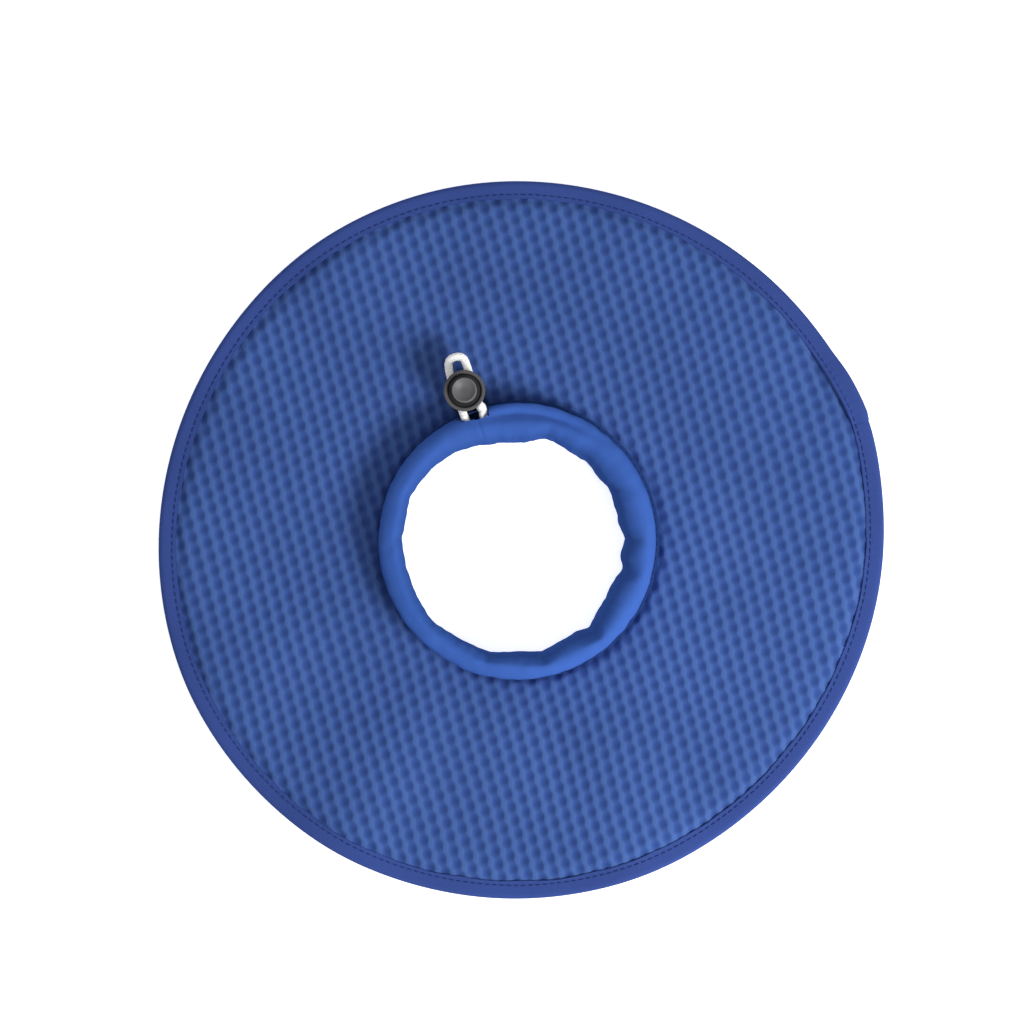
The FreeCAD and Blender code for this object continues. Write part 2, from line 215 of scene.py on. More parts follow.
def newGroup(name, inputs, outputs):
    tree = bpy.data.node_groups.new(name, "ShaderNodeTree")
    for label, kind, value in inputs:
        socket = tree.interface.new_socket(label, in_out="INPUT", socket_type=kind)
        if value is not None:
            socket.default_value = value
    for label in outputs:
        tree.interface.new_socket(label, in_out="OUTPUT", socket_type="NodeSocketFloat")
    return tree, tree.nodes.new("NodeGroupInput").outputs, tree.nodes.new("NodeGroupOutput").inputs


def useGroup(tree, group, **values):
    node = addNode(tree, "ShaderNodeGroup", node_tree=group)
    for name, value in values.items():
        wire(tree, value, node.inputs[name])
    return node.outputs


netPull = (1.4, 0.65, 0.25)  # how much each direction of the knit shapes a hole; uneven, the holes are oval


def makeNetGroup():
    # a knitted net: holes at the whole numbers of a slanting lattice, ribs of yarn between them
    tree, given, out = newGroup("knittedNet", [("Lattice", "NodeSocketVector", None)], ["Hole", "Rib", "Stitch"])
    u, v = axesOf(tree, given["Lattice"])[:2]
    turn = 2 * pi

    def wave(value, times=1.0, shift=0.0):
        return calc(tree, "COSINE", calc(tree, "MULTIPLY_ADD", value, turn * times, shift))

    across = calc(tree, "SUBTRACT", u, v)
    total = calc(tree, "MULTIPLY_ADD", wave(u), netPull[0], calc(tree, "MULTIPLY", wave(v), netPull[1]))
    total = calc(tree, "MULTIPLY_ADD", wave(across), netPull[2], total)
    wire(tree, ramp(tree, total, -0.3, 2.5), out["Hole"])
    wire(tree, ramp(tree, total, -1.5, 0.6, 1.0, 0.0), out["Rib"])
    # loops of yarn, three to a hole along each rib
    loops = calc(tree, "MULTIPLY", wave(across, 3.0), wave(calc(tree, "ADD", u, v), 3.0))
    wire(tree, calc(tree, "MULTIPLY_ADD", loops, 0.5, 0.5), out["Stitch"])
    return tree


def makeWeaveGroup():
    # plain weave on a map in millimetres: threads go over and under by turns
    tree, given, out = newGroup("plainWeave", [
        ("Map", "NodeSocketVector", None),
        ("Across", "NodeSocketFloat", 2.0),
        ("Along", "NodeSocketFloat", 2.0),
    ], ["Thread"])
    along, across = (
        calc(tree, "SINE", calc(tree, "MULTIPLY", calc(tree, "MULTIPLY", distance, given[threads]), pi))
        for distance, threads in zip(axesOf(tree, given["Map"]), ("Along", "Across"))
    )
    both = calc(tree, "MULTIPLY", along, across)
    wire(tree, calc(tree, "MULTIPLY_ADD", both, 0.5, 0.5), out["Thread"])
    return tree


def makeMottleGroup():
    # slow unevenness of dye and handling, and fine fuzz
    tree, given, out = newGroup("mottle", [
        ("Place", "NodeSocketVector", None),
        ("Fineness", "NodeSocketFloat", 1.0),
    ], ["Slow", "Fuzz"])
    for label, scale, detail in (("Slow", 22.0, 3.0), ("Fuzz", 900.0, 2.0)):
        texture = addNode(tree, "ShaderNodeTexNoise")
        wire(tree, given["Place"], texture.inputs["Vector"])
        wire(tree, calc(tree, "MULTIPLY", given["Fineness"], scale), texture.inputs["Scale"])
        texture.inputs["Detail"].default_value = detail
        wire(tree, texture.outputs[0], out[label])
    return tree


netGroup = makeNetGroup()
weaveGroup = makeWeaveGroup()
mottleGroup = makeMottleGroup()


def startMaterial(name, roughness, sheen=0.0, metallic=0.0, gloss=0.5):
    material = bpy.data.materials.new(name)
    material.use_nodes = True
    tree = material.node_tree
    shader = tree.nodes["Principled BSDF"]
    shader.inputs["Roughness"].default_value = roughness
    shader.inputs["Metallic"].default_value = metallic
    shader.inputs["Sheen Weight"].default_value = sheen
    shader.inputs["Specular IOR Level"].default_value = gloss
    shader.inputs["Sheen Roughness"].default_value = 0.45
    place = addNode(tree, "ShaderNodeTexCoord").outputs["Object"]
    flat = addNode(tree, "ShaderNodeUVMap").outputs[0]
    return material, tree, shader, place, flat


def bump(tree, shader, height, depth, strength=1.0):
    node = addNode(tree, "ShaderNodeBump")
    node.inputs["Strength"].default_value = strength
    node.inputs["Distance"].default_value = depth
    wire(tree, height, node.inputs["Height"])
    wire(tree, node.outputs[0], shader.inputs["Normal"])


# the net's colours: the holes are painted darker as shade inside them, and the tops of the ribs lighter as a painted
# highlight; the loop pattern tints the yarn a little towards the holes' colour
netLook = {
    "yarn": (0.045, 0.094, 0.295, 1),
    "yarnPaintedHighlight": (0.064, 0.127, 0.357, 1),
    "hole": (0.031, 0.066, 0.243, 1),
    "depth": 0.4 * mm,
}


def makeNetMaterial():
    material, tree, shader, place, flat = startMaterial("netFabric", 0.85, 0.03, gloss=0.0)
    net = useGroup(tree, netGroup, Lattice=flat)
    dye = useGroup(tree, mottleGroup, Place=place)
    # painted highlight on the ribs, then painted shade in the holes
    yarn = mixColour(tree, ramp(tree, net["Rib"], 0.1, 1.0), netLook["yarn"], netLook["yarnPaintedHighlight"])
    yarn = mixColour(tree, calc(tree, "MULTIPLY", net["Stitch"], 0.16), yarn, netLook["hole"])
    holed = mixColour(tree, net["Hole"], yarn, netLook["hole"])
    shade = ramp(tree, dye["Slow"], 0.25, 0.75, 0.93, 1.06)
    shader.inputs["Base Color"].default_value = netLook["yarn"]
    tinted = mixColour(tree, 1.0, holed, addShade(tree, shade), "MULTIPLY")
    wire(tree, tinted, shader.inputs["Base Color"])
    height = calc(tree, "MULTIPLY_ADD", net["Stitch"], 0.22, calc(tree, "MULTIPLY", net["Rib"], 0.6))
    height = calc(tree, "MULTIPLY_ADD", net["Hole"], -0.8, height)
    height = calc(tree, "MULTIPLY_ADD", dye["Fuzz"], 0.15, height)
    bump(tree, shader, height, netLook["depth"], 0.7)
    return material


def addShade(tree, value):
    node = addNode(tree, "ShaderNodeCombineColor")
    for socket in node.inputs[:3]:
        wire(tree, value, socket)
    return node.outputs[0]


fabrics = {
    # threads is how many lie in a millimetre, along the strip and across it; the sleeve's last two entries are bands
    # of the map,
    # in millimetres and then how dark: painted shade on the sleeve's inner wall, and painted shade in the crease
    # where it meets its seam
    "sleeveFabric": {"colour": (0.046, 0.118, 0.43), "threads": (2.6, 2.6), "depth": 0.12 * mm,
                     "paintedInnerShade": (7, 12, 25, 32, 0.3), "paintedCreaseShade": (49.5, 51.5, 0.55)},
    "bindingTape": {"colour": (0.040, 0.072, 0.262), "threads": (2.2, 1.4), "depth": 0.16 * mm, "contrast": 0.22},
    "sewingThread": {"colour": (0.022, 0.043, 0.165), "threads": (2.0, 6.0), "depth": 0.06 * mm, "roughness": 0.6},
    "elasticCord": {"colour": (1.0, 1.0, 0.99), "threads": (1.25, 1.25), "depth": 0.10 * mm, "roughness": 0.7,
                    "contrast": 0.05},
}


def makeWovenMaterial(name, colour, threads, depth, roughness=0.8, contrast=0.16, paintedInnerShade=None, paintedCreaseShade=None):
    material, tree, shader, place, flat = startMaterial(name, roughness, gloss=0.0)
    weave = useGroup(tree, weaveGroup, Map=flat, Along=threads[0], Across=threads[1])
    dye = useGroup(tree, mottleGroup, Place=place)
    shade = calc(tree, "MULTIPLY_ADD", weave["Thread"], contrast, 1 - contrast / 2)
    shade = calc(tree, "MULTIPLY", shade, ramp(tree, dye["Slow"], 0.25, 0.75, 0.94, 1.06))
    # painted shade: the band over the sleeve's inner wall and the crease at its seam are painted darker
    if paintedInnerShade:
        across = axesOf(tree, flat)[1]
        paintedShadeBand = ramp(tree, across, paintedInnerShade[0], paintedInnerShade[1])
        paintedShadeBand = calc(tree, "MULTIPLY", paintedShadeBand, ramp(tree, across, paintedInnerShade[2], paintedInnerShade[3], 1.0, 0.0))
        shade = calc(tree, "MULTIPLY", shade, calc(tree, "MULTIPLY_ADD", paintedShadeBand, -paintedInnerShade[4], 1.0))
        shade = calc(tree, "MULTIPLY", shade, ramp(tree, across, paintedCreaseShade[0], paintedCreaseShade[1], 1.0, 1 - paintedCreaseShade[2]))
    tinted = mixColour(tree, 1.0, (*colour, 1), addShade(tree, shade), "MULTIPLY")
    wire(tree, tinted, shader.inputs["Base Color"])
    height = calc(tree, "MULTIPLY_ADD", dye["Fuzz"], 0.3, weave["Thread"])
    bump(tree, shader, height, depth, 0.6)
    return material


plastics = {
    # foot is painted shade, below the first of two heights over the middle of the cord hole: the groove round the
    # button, the button's stem and the barrel's mouth; colour is above the second, lighter as a painted highlight on
    # the barrel's rim and the button's top, and the button's colour is lighter than the barrel's though both are one
    # plastic
    "toggleBarrel": {"colour": (0.08, 0.075, 0.078), "foot": (0.016, 0.015, 0.017), "roughness": 0.42,
                     "paintedShadeBand": (5.6, 6.5), "grain": 0.05 * mm},
    "toggleButton": {"colour": (0.125, 0.124, 0.132), "foot": (0.004, 0.004, 0.005), "roughness": 0.46,
                     "paintedShadeBand": (6.6, 8.4), "grain": 0.03 * mm},
}


def makePlasticMaterial(name, colour, foot, roughness, paintedShadeBand, grain):
    material, tree, shader, place, flat = startMaterial(name, roughness, gloss=0.35)
    # painted shade and light: the plastic is painted dark below two heights over the cord hole's middle and lighter
    # above them
    over = ramp(tree, axesOf(tree, place)[2], toggleMiddle.z + paintedShadeBand[0] * mm, toggleMiddle.z + paintedShadeBand[1] * mm)
    dye = useGroup(tree, mottleGroup, Place=place, Fineness=2.0)
    dust = ramp(tree, dye["Slow"], 0.45, 0.8)
    plain = mixColour(tree, over, (*foot, 1), (*colour, 1))
    worn = mixColour(tree, calc(tree, "MULTIPLY", dust, 0.15), plain, (0.2, 0.2, 0.21, 1))
    wire(tree, worn, shader.inputs["Base Color"])
    rough = calc(tree, "MULTIPLY_ADD", dye["Slow"], 0.25, roughness - 0.1)
    wire(tree, rough, shader.inputs["Roughness"])
    bump(tree, shader, dye["Fuzz"], grain, 0.35)
    return material


def makeMetalMaterial(name, colour, roughness):
    material, tree, shader, place, flat = startMaterial(name, roughness, metallic=1.0)
    dye = useGroup(tree, mottleGroup, Place=place, Fineness=3.0)
    worn = mixColour(tree, ramp(tree, dye["Slow"], 0.4, 0.8), (*colour, 1), (*[c * 0.7 for c in colour], 1))
    wire(tree, worn, shader.inputs["Base Color"])
    wire(tree, calc(tree, "MULTIPLY_ADD", dye["Fuzz"], 0.25, roughness - 0.1), shader.inputs["Roughness"])
    bump(tree, shader, dye["Fuzz"], 0.02 * mm, 0.4)
    return material


def makeFoamMaterial():
    material, tree, shader, place, flat = startMaterial("openFoam", 0.95)
    cells = addNode(tree, "ShaderNodeTexVoronoi")
    cells.inputs["Scale"].default_value = 900
    wire(tree, place, cells.inputs["Vector"])
    cell = cells.outputs["Distance"]
    colour = mixColour(tree, ramp(tree, cell, 0.1, 0.6), (0.45, 0.44, 0.4, 1), (0.8, 0.79, 0.74, 1))
    wire(tree, colour, shader.inputs["Base Color"])
    bump(tree, shader, cell, 0.4 * mm, 0.8)
    return material


netMaterial = makeNetMaterial()
sleeveMaterial, tapeMaterial, threadMaterial, cordMaterial = (
    makeWovenMaterial(name, **look) for name, look in fabrics.items())
barrelMaterial, buttonMaterial = (makePlasticMaterial(name, **look) for name, look in plastics.items())
steelMaterial = makeMetalMaterial("springSteel", (0.55, 0.55, 0.57), 0.3)
ferruleMaterial = makeMetalMaterial("ferruleMetal", (0.66, 0.66, 0.68), 0.4)
foamMaterial = makeFoamMaterial()


def meshOf(build, name):
    mesh = bpy.data.meshes.new(name)
    build.to_mesh(mesh)
    build.free()
    return mesh


def looseObject(build, name):
    # an object that isn't a piece yet
    loose = bpy.data.objects.new(name, meshOf(build, name))
    scene.collection.objects.link(loose)
    return loose


def makeFloor():
    build = bmesh.new()
    bmesh.ops.create_grid(build, x_segments=2, y_segments=2, size=floorSize["width"] / 2)
    bmesh.ops.translate(build, vec=(0, 0, -floorSize["drop"]), verts=build.verts)
    floor = looseObject(build, "floor")
    material, tree, shader, place, flat = startMaterial("floorPaper", 0.9)
    shader.inputs["Base Color"].default_value = (0.92, 0.92, 0.92, 1)
    shader.inputs["Emission Color"].default_value = (1, 1, 1, 1)
    shader.inputs["Emission Strength"].default_value = floorSize["glow"]
    floor.data.materials.append(material)


makeFloor()
print("materials made")


def finishPiece(shape, name, material, replaced, autoSmooth=None, body="collar"):
    # shape is a bmesh or a mesh in the frame; autoSmooth is the angle over which an edge stays sharp
    mesh = meshOf(shape, name) if isinstance(shape, bmesh.types.BMesh) else shape
    mesh.materials.clear()
    mesh.materials.append(material)
    mesh.shade_smooth()
    if autoSmooth is not None:
        mesh.set_sharp_from_angle(angle=radians(autoSmooth))
    piece = bpy.data.objects.new(name, mesh)
    scene.collection.objects.link(piece)
    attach(piece, body)
    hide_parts(*replaced)
    return piece


def roundPoint(radius, turn, high):
    return Vector((radius * cos(turn), radius * sin(turn), high))


def gridBuild(stepsAlong, stepsAcross, place, mapSize, close=False):
    # a strip of cloth: place(u, w) puts the point that is u along and w across, both from 0 to 1
    build = bmesh.new()
    bmesh.ops.create_grid(build, x_segments=stepsAlong, y_segments=stepsAcross, size=1.0, calc_uvs=True)
    flat = build.loops.layers.uv.verify()
    for face in build.faces:
        for loop in face.loops:
            u, w = (loop.vert.co.x + 1) / 2, (loop.vert.co.y + 1) / 2
            loop[flat].uv = (u * mapSize[0] / mm, w * mapSize[1] / mm)
    for vert in build.verts:
        vert.co = place((vert.co.x + 1) / 2, (vert.co.y + 1) / 2)
    if close:
        bmesh.ops.remove_doubles(build, verts=build.verts, dist=0.002 * mm)
    bmesh.ops.recalc_face_normals(build, faces=build.faces)
    return build


def cutMesh(loose, *modifiers, cutter=None):
    # the mesh of a loose object under its modifiers, less the cutter; neither object is kept
    if cutter:
        modifiers += (("BOOLEAN", {"operation": "DIFFERENCE", "solver": "EXACT", "object": cutter}),)
    for kind, settings in modifiers:
        modifier = loose.modifiers.new(kind.lower(), kind)
        for name, value in settings.items():
            setattr(modifier, name, value)
    mesh = bpy.data.meshes.new_from_object(loose.evaluated_get(bpy.context.evaluated_depsgraph_get()))
    for used in filter(None, (loose, cutter)):
        bpy.data.objects.remove(used)
    return mesh


def putAt(build, matrix):
    bmesh.ops.transform(build, matrix=matrix, verts=build.verts)
    bmesh.ops.recalc_face_normals(build, faces=build.faces)


def spinRound(build, geom, steps):
    bmesh.ops.spin(build, geom=geom, cent=(0, 0, 0), axis=(0, 0, 1), angle=2 * pi, steps=steps, use_merge=True)


cordSize = {
    "radius": 1.6 * mm,
    "ringRadius": 45.49 * mm,
    "ringHigh": sleeveHigh - 4.3 * mm,
    "legOut": 49.35 * mm,
    "bendSide": 8.0 * mm,
    "legSide": 3.5 * mm,
    "doorway": 52.0 * mm,  # where the loop leaves the sleeve's inside
    "exitReach": 16,  # degrees to each side of the opening where the hidden cord rises to it
    "sink": 2.2 * mm,  # how much lower it lies elsewhere
    "wallGap": 3.5 * mm,  # from the inner wall's top edge to the cord's middle
    "strands": 8,
    "twist": 5.2 * mm,  # run of one turn of the braid
    "relief": 0.09 * mm,
    "steps": (220, 32),
    # control points of the loop outside the sleeve: along it from the toggle's middle, and sideways
    "loop": [(-8.66, 3.5), (2.0, 3.4), (9.5, 3.1), (14.1, 1.6),
             (13.5, -4.1), (8.3, -4.2), (3.0, -3.6), (-8.66, -3.5)],
}


def smoothLine(name, points):
    # the points of a smooth line through a route, as a NURBS spline gives them
    data = bpy.data.curves.new(name, "CURVE")
    data.dimensions = "3D"
    spline = data.splines.new("NURBS")
    spline.points.add(len(points) - 1)
    for point, place in zip(spline.points, points):
        point.co = (*place, 1)
    spline.order_u = 3
    spline.use_endpoint_u = True
    spline.resolution_u = 24
    curve = bpy.data.objects.new(name, data)
    scene.collection.objects.link(curve)
    mesh = bpy.data.meshes.new_from_object(curve.evaluated_get(bpy.context.evaluated_depsgraph_get()))
    line = [vert.co.copy() for vert in mesh.vertices]
    bpy.data.objects.remove(curve)
    bpy.data.meshes.remove(mesh)
    return line


def makeLoop():
    route = [toggleFrame @ Vector((x * mm, y * mm, 0)) for x, y in cordSize["loop"]]
    line = smoothLine("loop_line", route)
    marks = [0.0]
    for a, b in zip(line, line[1:]):
        marks.append(marks[-1] + (b - a).length)

    def spot(u):
        distance = u * marks[-1]
        for k in range(len(line) - 1):
            if distance <= marks[k + 1] + 1e-9:
                part = (distance - marks[k]) / (marks[k + 1] - marks[k])
                return line[k].lerp(line[k + 1], part), (line[k + 1] - line[k]).normalized()
        return line[-1], (line[-1] - line[-2]).normalized()

    def place(u, w):
        middle, ahead = spot(u)
        side = ahead.cross(buttonAxis).normalized()
        turn = 2 * pi * w
        twist = u * marks[-1] / cordSize["twist"] * 2 * pi
        strand = cordSize["strands"] / 2 * turn
        weave = sin(strand + twist * 2) * sin(strand - twist * 2)
        radius = cordSize["radius"] + cordSize["relief"] * (weave - 0.4)
        return middle + (side * cos(turn) + side.cross(ahead) * sin(turn)) * radius

    build = gridBuild(*cordSize["steps"], place, (marks[-1], 2 * pi * cordSize["radius"]), True)
    bmesh.ops.holes_fill(build, edges=[edge for edge in build.edges if edge.is_boundary], sides=0)
    bmesh.ops.recalc_face_normals(build, faces=build.faces)
    piece = finishPiece(build, "drawcord_loop", cordMaterial, ["drawcord"])
    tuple(route[0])


makeLoop()
print("cord loop made")

discShape = {
    "steadyRadius": 62 * mm,  # inside it the disc keeps to the plain ring
    "ovals": [(2, 26, 1.2 * mm), (3, 2, 0.5 * mm), (4, 18, 0.4 * mm)],  # lobes, direction, how far
    "waves": [  # soft ridges: direction, half width, height
        (239, 11, 3.5 * mm),
        (203, 8, 1.4 * mm),
        (127, 11, 2.1 * mm),
        (291, 10, 2.0 * mm),
        (48, 20, 0.6 * mm),
    ],
    # the rim stands out where the tape's end is lapped: how far, direction, half width, from which radius
    "lapBulge": (1.3 * mm, 19.5, 9, 110 * mm),
    "waveStart": 58 * mm,
    "waveFull": 92 * mm,
}


def settle(point):
    # a point of the flat round disc, put where the soft disc has it
    radius = hypot(point.x, point.y)
    angle = degrees(atan2(point.y, point.x))
    share = smooth(discShape["steadyRadius"], rimRadius, radius)
    grow = sum(far * cos(lobes * radians(angle - middle)) for lobes, middle, far in discShape["ovals"])
    far, middle, half, start = discShape["lapBulge"]
    grow += far * hump(angle, middle, half) * smooth(start, rimRadius, radius)
    rise = sum(high * hump(angle, middle, half) for middle, half, high in discShape["waves"])
    rise *= smooth(discShape["waveStart"], discShape["waveFull"], radius)
    stretch = 1 + grow * share / max(radius, mm)
    return Vector((point.x * stretch, point.y * stretch, point.z + rise))


def settleAll(build):
    # a part of the disc built round its own middle plane
    for vert in build.verts:
        vert.co = settle(vert.co + Vector((0, 0, discMiddle)))
    bmesh.ops.recalc_face_normals(build, faces=build.faces)


panel = {
    "rowGap": 5.09 * mm,  # between rows of holes
    "rowTurns": (15.0, -53.5),  # the two directions that the rows step in
    "finePerHole": 5,
    "neckEdge": 50.2 * mm,
    "rimEdge": 137.6 * mm,
    "neckFoot": tabRadius + 0.15 * mm,
    "rimFoot": rimRadius - 7.5 * mm,
    "crownRadius": 7.0 * mm,
    "neckCrownRadius": 2.8 * mm,
    "flange": 1.0 * mm,  # cloth thickness where both panels are sewn together
    "hole": (0.0, 2.4, 0.42 * mm),  # where on the knit's wave it starts and ends, and how deep it is
    "rib": (1.0, -1.4, 0.12 * mm),
    "plainEdge": 1.5 * mm,  # the relief fades out this far from the edges
    "stray": 1.0 * mm,  # how far the knit wanders
    "strayScale": 26.0,
    "underSteps": 180,
    "footGap": 0.4 * mm,
}
crownDrop = discHigh - discMiddle - panel["flange"]


def crownRun(corner):
    # how far from its foot the rounded edge of the padding reaches its full height
    return sqrt(corner ** 2 - (corner - crownDrop) ** 2)


neckRun, rimRun = crownRun(panel["neckCrownRadius"]), crownRun(panel["crownRadius"])


def crownHeight(radius):
    # how high the front panel's top is over the middle plane
    fromNeck, fromRim = radius - panel["neckFoot"], panel["rimFoot"] - radius
    if min(fromNeck, fromRim) <= 0:
        return panel["flange"]
    nearNeck = fromNeck < fromRim
    corner = panel["neckCrownRadius"] if nearNeck else panel["crownRadius"]
    back = max((neckRun - fromNeck) if nearNeck else (rimRun - fromRim), 0.0)
    drop = corner - sqrt(corner ** 2 - back ** 2)
    return panel["flange"] + crownDrop - drop


def latticeMatrix():
    # from hole numbers to metres
    rows = [Vector((cos(radians(turn)), sin(radians(turn)))) / panel["rowGap"]
            for turn in panel["rowTurns"]]
    return Matrix((rows[0], rows[1])).inverted()


def makePanel(name, node, side):
    toMetres = latticeMatrix()
    reach = ceil(panel["rimEdge"] / panel["rowGap"])
    build = bmesh.new()
    steps = 2 * reach * panel["finePerHole"]
    bmesh.ops.create_grid(build, x_segments=steps, y_segments=steps, size=reach, calc_uvs=True)
    flat = build.loops.layers.uv.verify()
    for face in build.faces:
        for loop in face.loops:
            loop[flat].uv = loop.vert.co.xy
    holes = {}
    for vert in build.verts:
        u, v = vert.co.xy
        pattern = sum(pull * cos(2 * pi * turn) for pull, turn in zip(netPull, (u, v, u - v)))
        place = toMetres @ Vector((u, v))
        wander = noise.noise_vector(Vector((place.x, place.y, 0.3)) * panel["strayScale"])
        place += wander.xy * panel["stray"]
        vert.co = (place.x, place.y, 0)
        holes[vert] = pattern

    def outside(vert):
        radius = vert.co.xy.length
        return radius > panel["rimEdge"] or radius < panel["neckEdge"]

    away = [face for face in build.faces if all(outside(vert) for vert in face.verts)]
    bmesh.ops.delete(build, geom=away, context="FACES")
    (*rib, high), (*hole, deep) = panel["rib"], panel["hole"]
    for vert in build.verts:
        radius = vert.co.xy.length
        held = min(max(radius, panel["neckEdge"]), panel["rimEdge"])
        vert.co.xy = vert.co.xy * (held / radius)
        radius = held
        relief = high * smooth(*rib, holes[vert]) - deep * smooth(*hole, holes[vert])
        relief *= smooth(0, panel["plainEdge"], min(radius - panel["neckEdge"], panel["rimEdge"] - radius))
        vert.co.z = crownHeight(radius) + relief + (slitBesideLap(vert.co, radius) if side > 0 else 0)
    closePanel(build)
    bmesh.ops.scale(build, vec=(1, 1, side), verts=build.verts)
    settleAll(build)
    return finishPiece(build, name, netMaterial, [node])


slit = {
    # the net is pinched down just inside the lapped tape, and stands up a little next to that
    "from": (18.5, 22),  # degrees round the rim
    "to": (35, 29),
    "pinched": (1.3 * mm, 1.6 * mm, 1.0 * mm),  # how far inside the foot, half width, depth
    "raised": (5.0 * mm, 1.4 * mm, 0.4 * mm),
}


def besideLap(angle):
    return smooth(*slit["from"], angle) * smooth(*slit["to"], angle)


def slitBesideLap(place, radius):
    def ridge(inside, half, size):
        return size * exp(-(((radius - panel["rimFoot"] + inside) / half) ** 2))

    angle = degrees(atan2(place.y, place.x))
    return besideLap(angle) * (ridge(*slit["raised"]) - ridge(*slit["pinched"]))


def closePanel(build):
    # the panel's plain underside, joined to its top round both edges
    bmesh.ops.remove_doubles(build, verts=build.verts, dist=0.05 * mm)
    top = [edge for edge in build.edges if edge.is_boundary]
    flatFrom, flatTo, steps = panel["neckFoot"] + neckRun + mm, panel["rimFoot"] - rimRun, 12
    corners = [(panel["neckEdge"], 0.0), (panel["neckFoot"] + panel["footGap"], 0.0)]
    corners += [(flatFrom + (flatTo - flatFrom) * k / steps, crownDrop) for k in range(steps + 1)]
    corners += [(panel["rimFoot"] - panel["footGap"], 0.0), (panel["rimEdge"], 0.0)]
    line = [build.verts.new((radius, 0, high)) for radius, high in corners]
    runs = [build.edges.new(pair) for pair in zip(line, line[1:])]
    spinRound(build, line + runs, panel["underSteps"])
    known = set(top)
    loose = [edge for edge in build.edges if edge.is_boundary and edge not in known]
    for chosen in (lambda r: r < panel["neckEdge"] + 3 * mm, lambda r: r > panel["rimEdge"] - 3 * mm):
        rims = [edge for edge in top + loose if chosen(edge.verts[0].co.xy.length)]
        bmesh.ops.bridge_loops(build, edges=rims)


foam = {"gap": 0.15 * mm, "edge": 1.0 * mm, "shoulder": 4.9 * mm, "cuts": 5, "steps": 240}


def makeFoam():
    # the foam between the panels, a little inside the space that their undersides leave
    high = crownDrop - foam["gap"]
    corners = [
        (panel["neckFoot"] + foam["edge"], 0.0),
        (panel["neckFoot"] + foam["shoulder"], high),
        ((panel["neckFoot"] + panel["rimFoot"]) / 2, high),
        (panel["rimFoot"] - rimRun, high),
        (panel["rimFoot"] - foam["edge"], 0.0),
    ]
    corners += [(radius, -z) for radius, z in corners[-2:0:-1]]
    build = bmesh.new()
    line = [build.verts.new((radius, 0, z)) for radius, z in corners]
    runs = [build.edges.new(pair) for pair in zip(line, line[1:] + line[:1])]
    bmesh.ops.subdivide_edges(build, edges=runs, cuts=foam["cuts"])
    spinRound(build, build.verts[:] + build.edges[:], foam["steps"])
    settleAll(build)
    piece = finishPiece(build, "foam_pad", foamMaterial, ["foam_core"], 40)


for name, side in (("front_panel", 1), ("back_panel", -1)):
    piece = makePanel(name + "_net", name, side)
makeFoam()
print("disc made")


def arcPoints(middle, radius, start, end, steps):
    angles = [radians(start + (end - start) * k / steps) for k in range(steps + 1)]
    return [(middle[0] + radius * cos(a), middle[1] + radius * sin(a)) for a in angles]


def measured(points):
    # the points of a profile, each with its distance along it
    total, marks = 0.0, [0.0]
    for a, b in zip(points, points[1:]):
        total += dist(a, b)
        marks.append(total)
    return list(zip(marks, points))


def alongProfile(marks, share):
    distance = share * marks[-1][0]
    for (before, a), (after, b) in zip(marks, marks[1:]):
        if distance <= after:
            part = (distance - before) / max(after - before, 1e-9)
            return a[0] + (b[0] - a[0]) * part, a[1] + (b[1] - a[1]) * part
    return marks[-1][1]


threadRadius = 0.24 * mm
threadLift = 0.04 * mm  # from the cloth to the middle of a stitch's thread


def addStitch(build, middle, along, out, length):
    # one short capsule of thread; along is its run, out is away from the cloth
    along, out = along.normalized(), out.normalized()
    turn = axesMatrix(out, along.cross(out), along, middle)
    bmesh.ops.create_uvsphere(build, u_segments=6, v_segments=5, radius=1.0,
                              matrix=turn @ Matrix.Diagonal((threadRadius, threadRadius, length / 2, 1)))


binding = {
    "thickness": 0.7 * mm,
    "innerEdge": rimRadius - 7.0 * mm,
    "foldRadius": rimRadius - tapeFold,
    "lapFrom": 19.0,  # degrees round the rim
    "lapTo": 32.1,
    "lapSink": (0.55, 1.0),  # the part of the lap that runs down into the tape under it
    "lapEnd": (0.11, 0.4 * mm),  # the part at its start that is drawn in, and how far
    "steps": 900,
    "lapSteps": 60,
    "across": 18,
    "pucker": 0.10 * mm,  # how deep each stitch pulls the tape in
    "puckerWidth": 1.3 * mm,
    "stitches": 300,
    "stitchRadius": rimRadius - 5.4 * mm,
    "stitchLength": 2.1 * mm,
    "edgeLift": 0.25 * mm,  # how far the tape's inner edge stands off the net here and there
    "edgeWobble": 0.45 * mm,  # and wanders sideways
    "lapLift": 1.2 * mm,  # and beside the lap
}


def bindingMarks(extra):
    # the middle of the tape's thickness, from its front inner edge round the rim to its back one
    half = panel["flange"] + binding["thickness"] / 2 + extra
    return measured([(binding["innerEdge"], half)]
                    + arcPoints((binding["foldRadius"], 0), half, 90, -90, 14)
                    + [(binding["innerEdge"], -half)])


